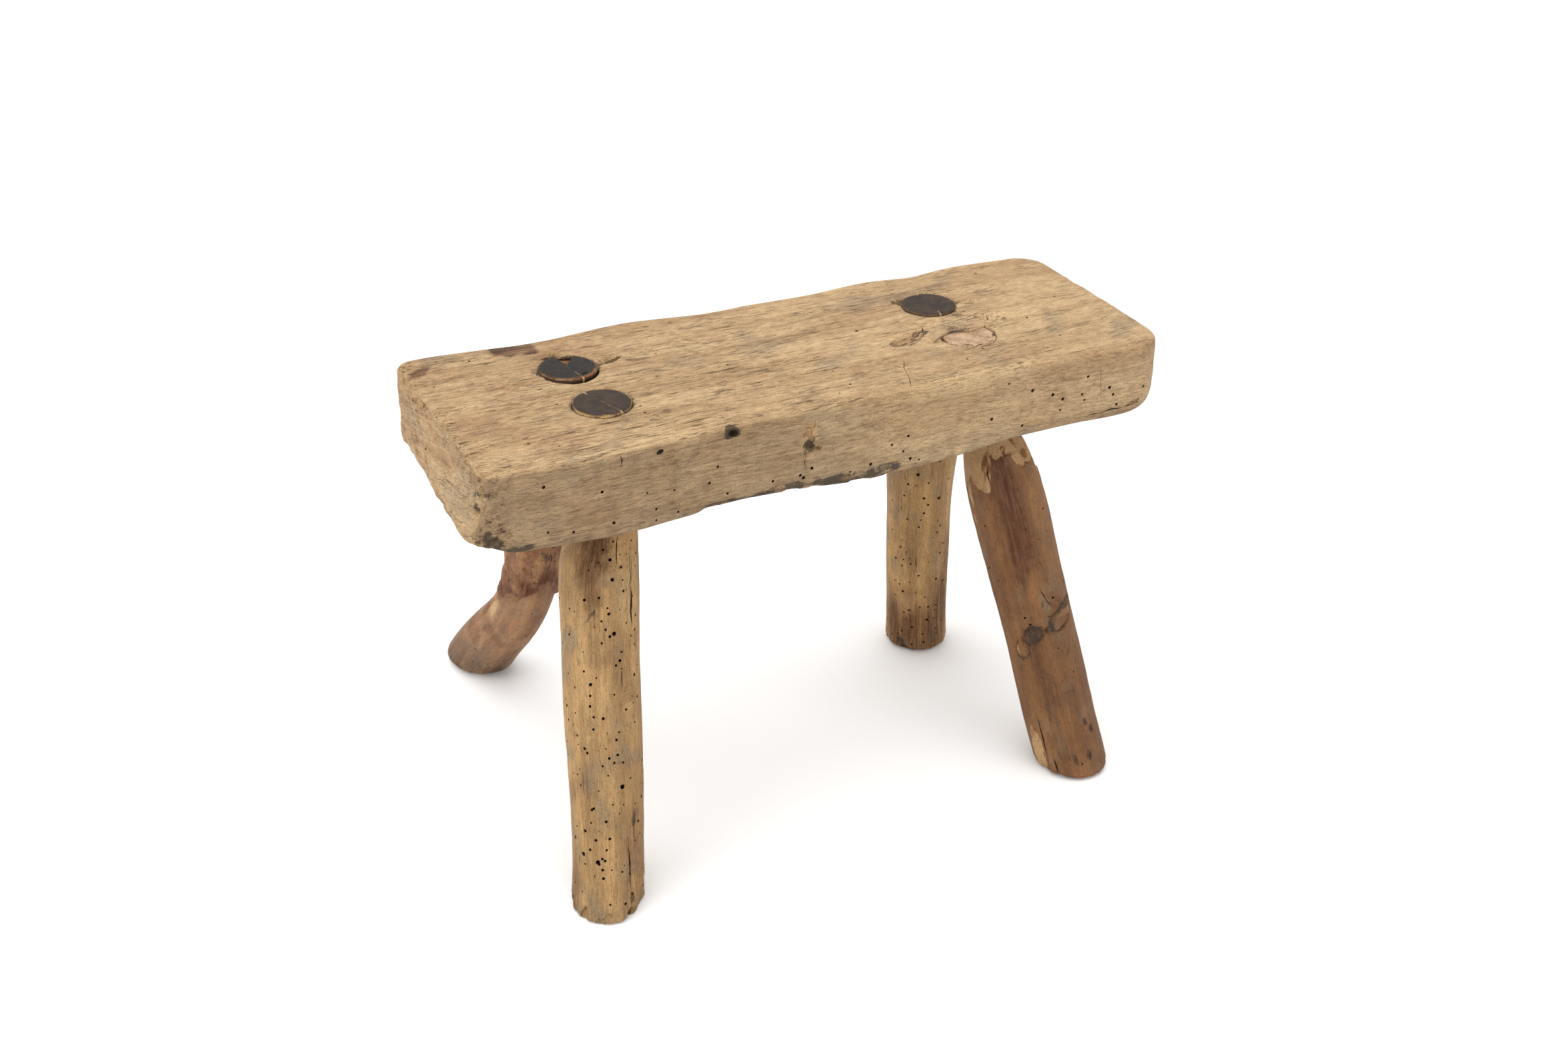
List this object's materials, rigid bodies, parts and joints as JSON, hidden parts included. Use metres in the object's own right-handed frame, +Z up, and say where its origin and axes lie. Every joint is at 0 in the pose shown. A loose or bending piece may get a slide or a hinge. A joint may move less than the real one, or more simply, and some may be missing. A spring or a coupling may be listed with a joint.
{
  "type": "milking stool",
  "caption": "Low rustic stool: a thick hewn plank seat on splayed, slightly crooked branch legs whose round tenons pass through the seat and are tightened with wedges.",
  "frame": {"origin": "on the floor under the middle of the bounding box of the whole stool, feet included", "axes": "+Z up, +X along the plank, -Y towards the front; the pale, wormholed front leg is at -X"},
  "size_m": [0.4372, 0.3232, 0.2714],
  "materials": {
    "seat_wood": "bare, dry, weathered plank, worn smooth on top, with wormholes and grey soiling",
    "pale_leg_wood": "bare pale branch wood with many wormholes and long drying cracks",
    "brown_leg_wood": "bare reddish-brown branch wood with knots and streaks",
    "bark_leg_wood": "branch wood with a remnant of flaky dark red bark",
    "wedge_wood": "thin split wedge, worn down flush with its tenon"
  },
  "bodies": {
    "root": {"seat_plank": "seat_wood", "leg_front_left": "pale_leg_wood", "leg_front_right": "brown_leg_wood", "leg_back_left": "bark_leg_wood", "leg_back_right": "pale_leg_wood", "wedge_front_left": "wedge_wood", "wedge_front_right": "wedge_wood", "wedge_back_left": "wedge_wood", "wedge_back_right": "wedge_wood"}
  },
  "joints": []
}
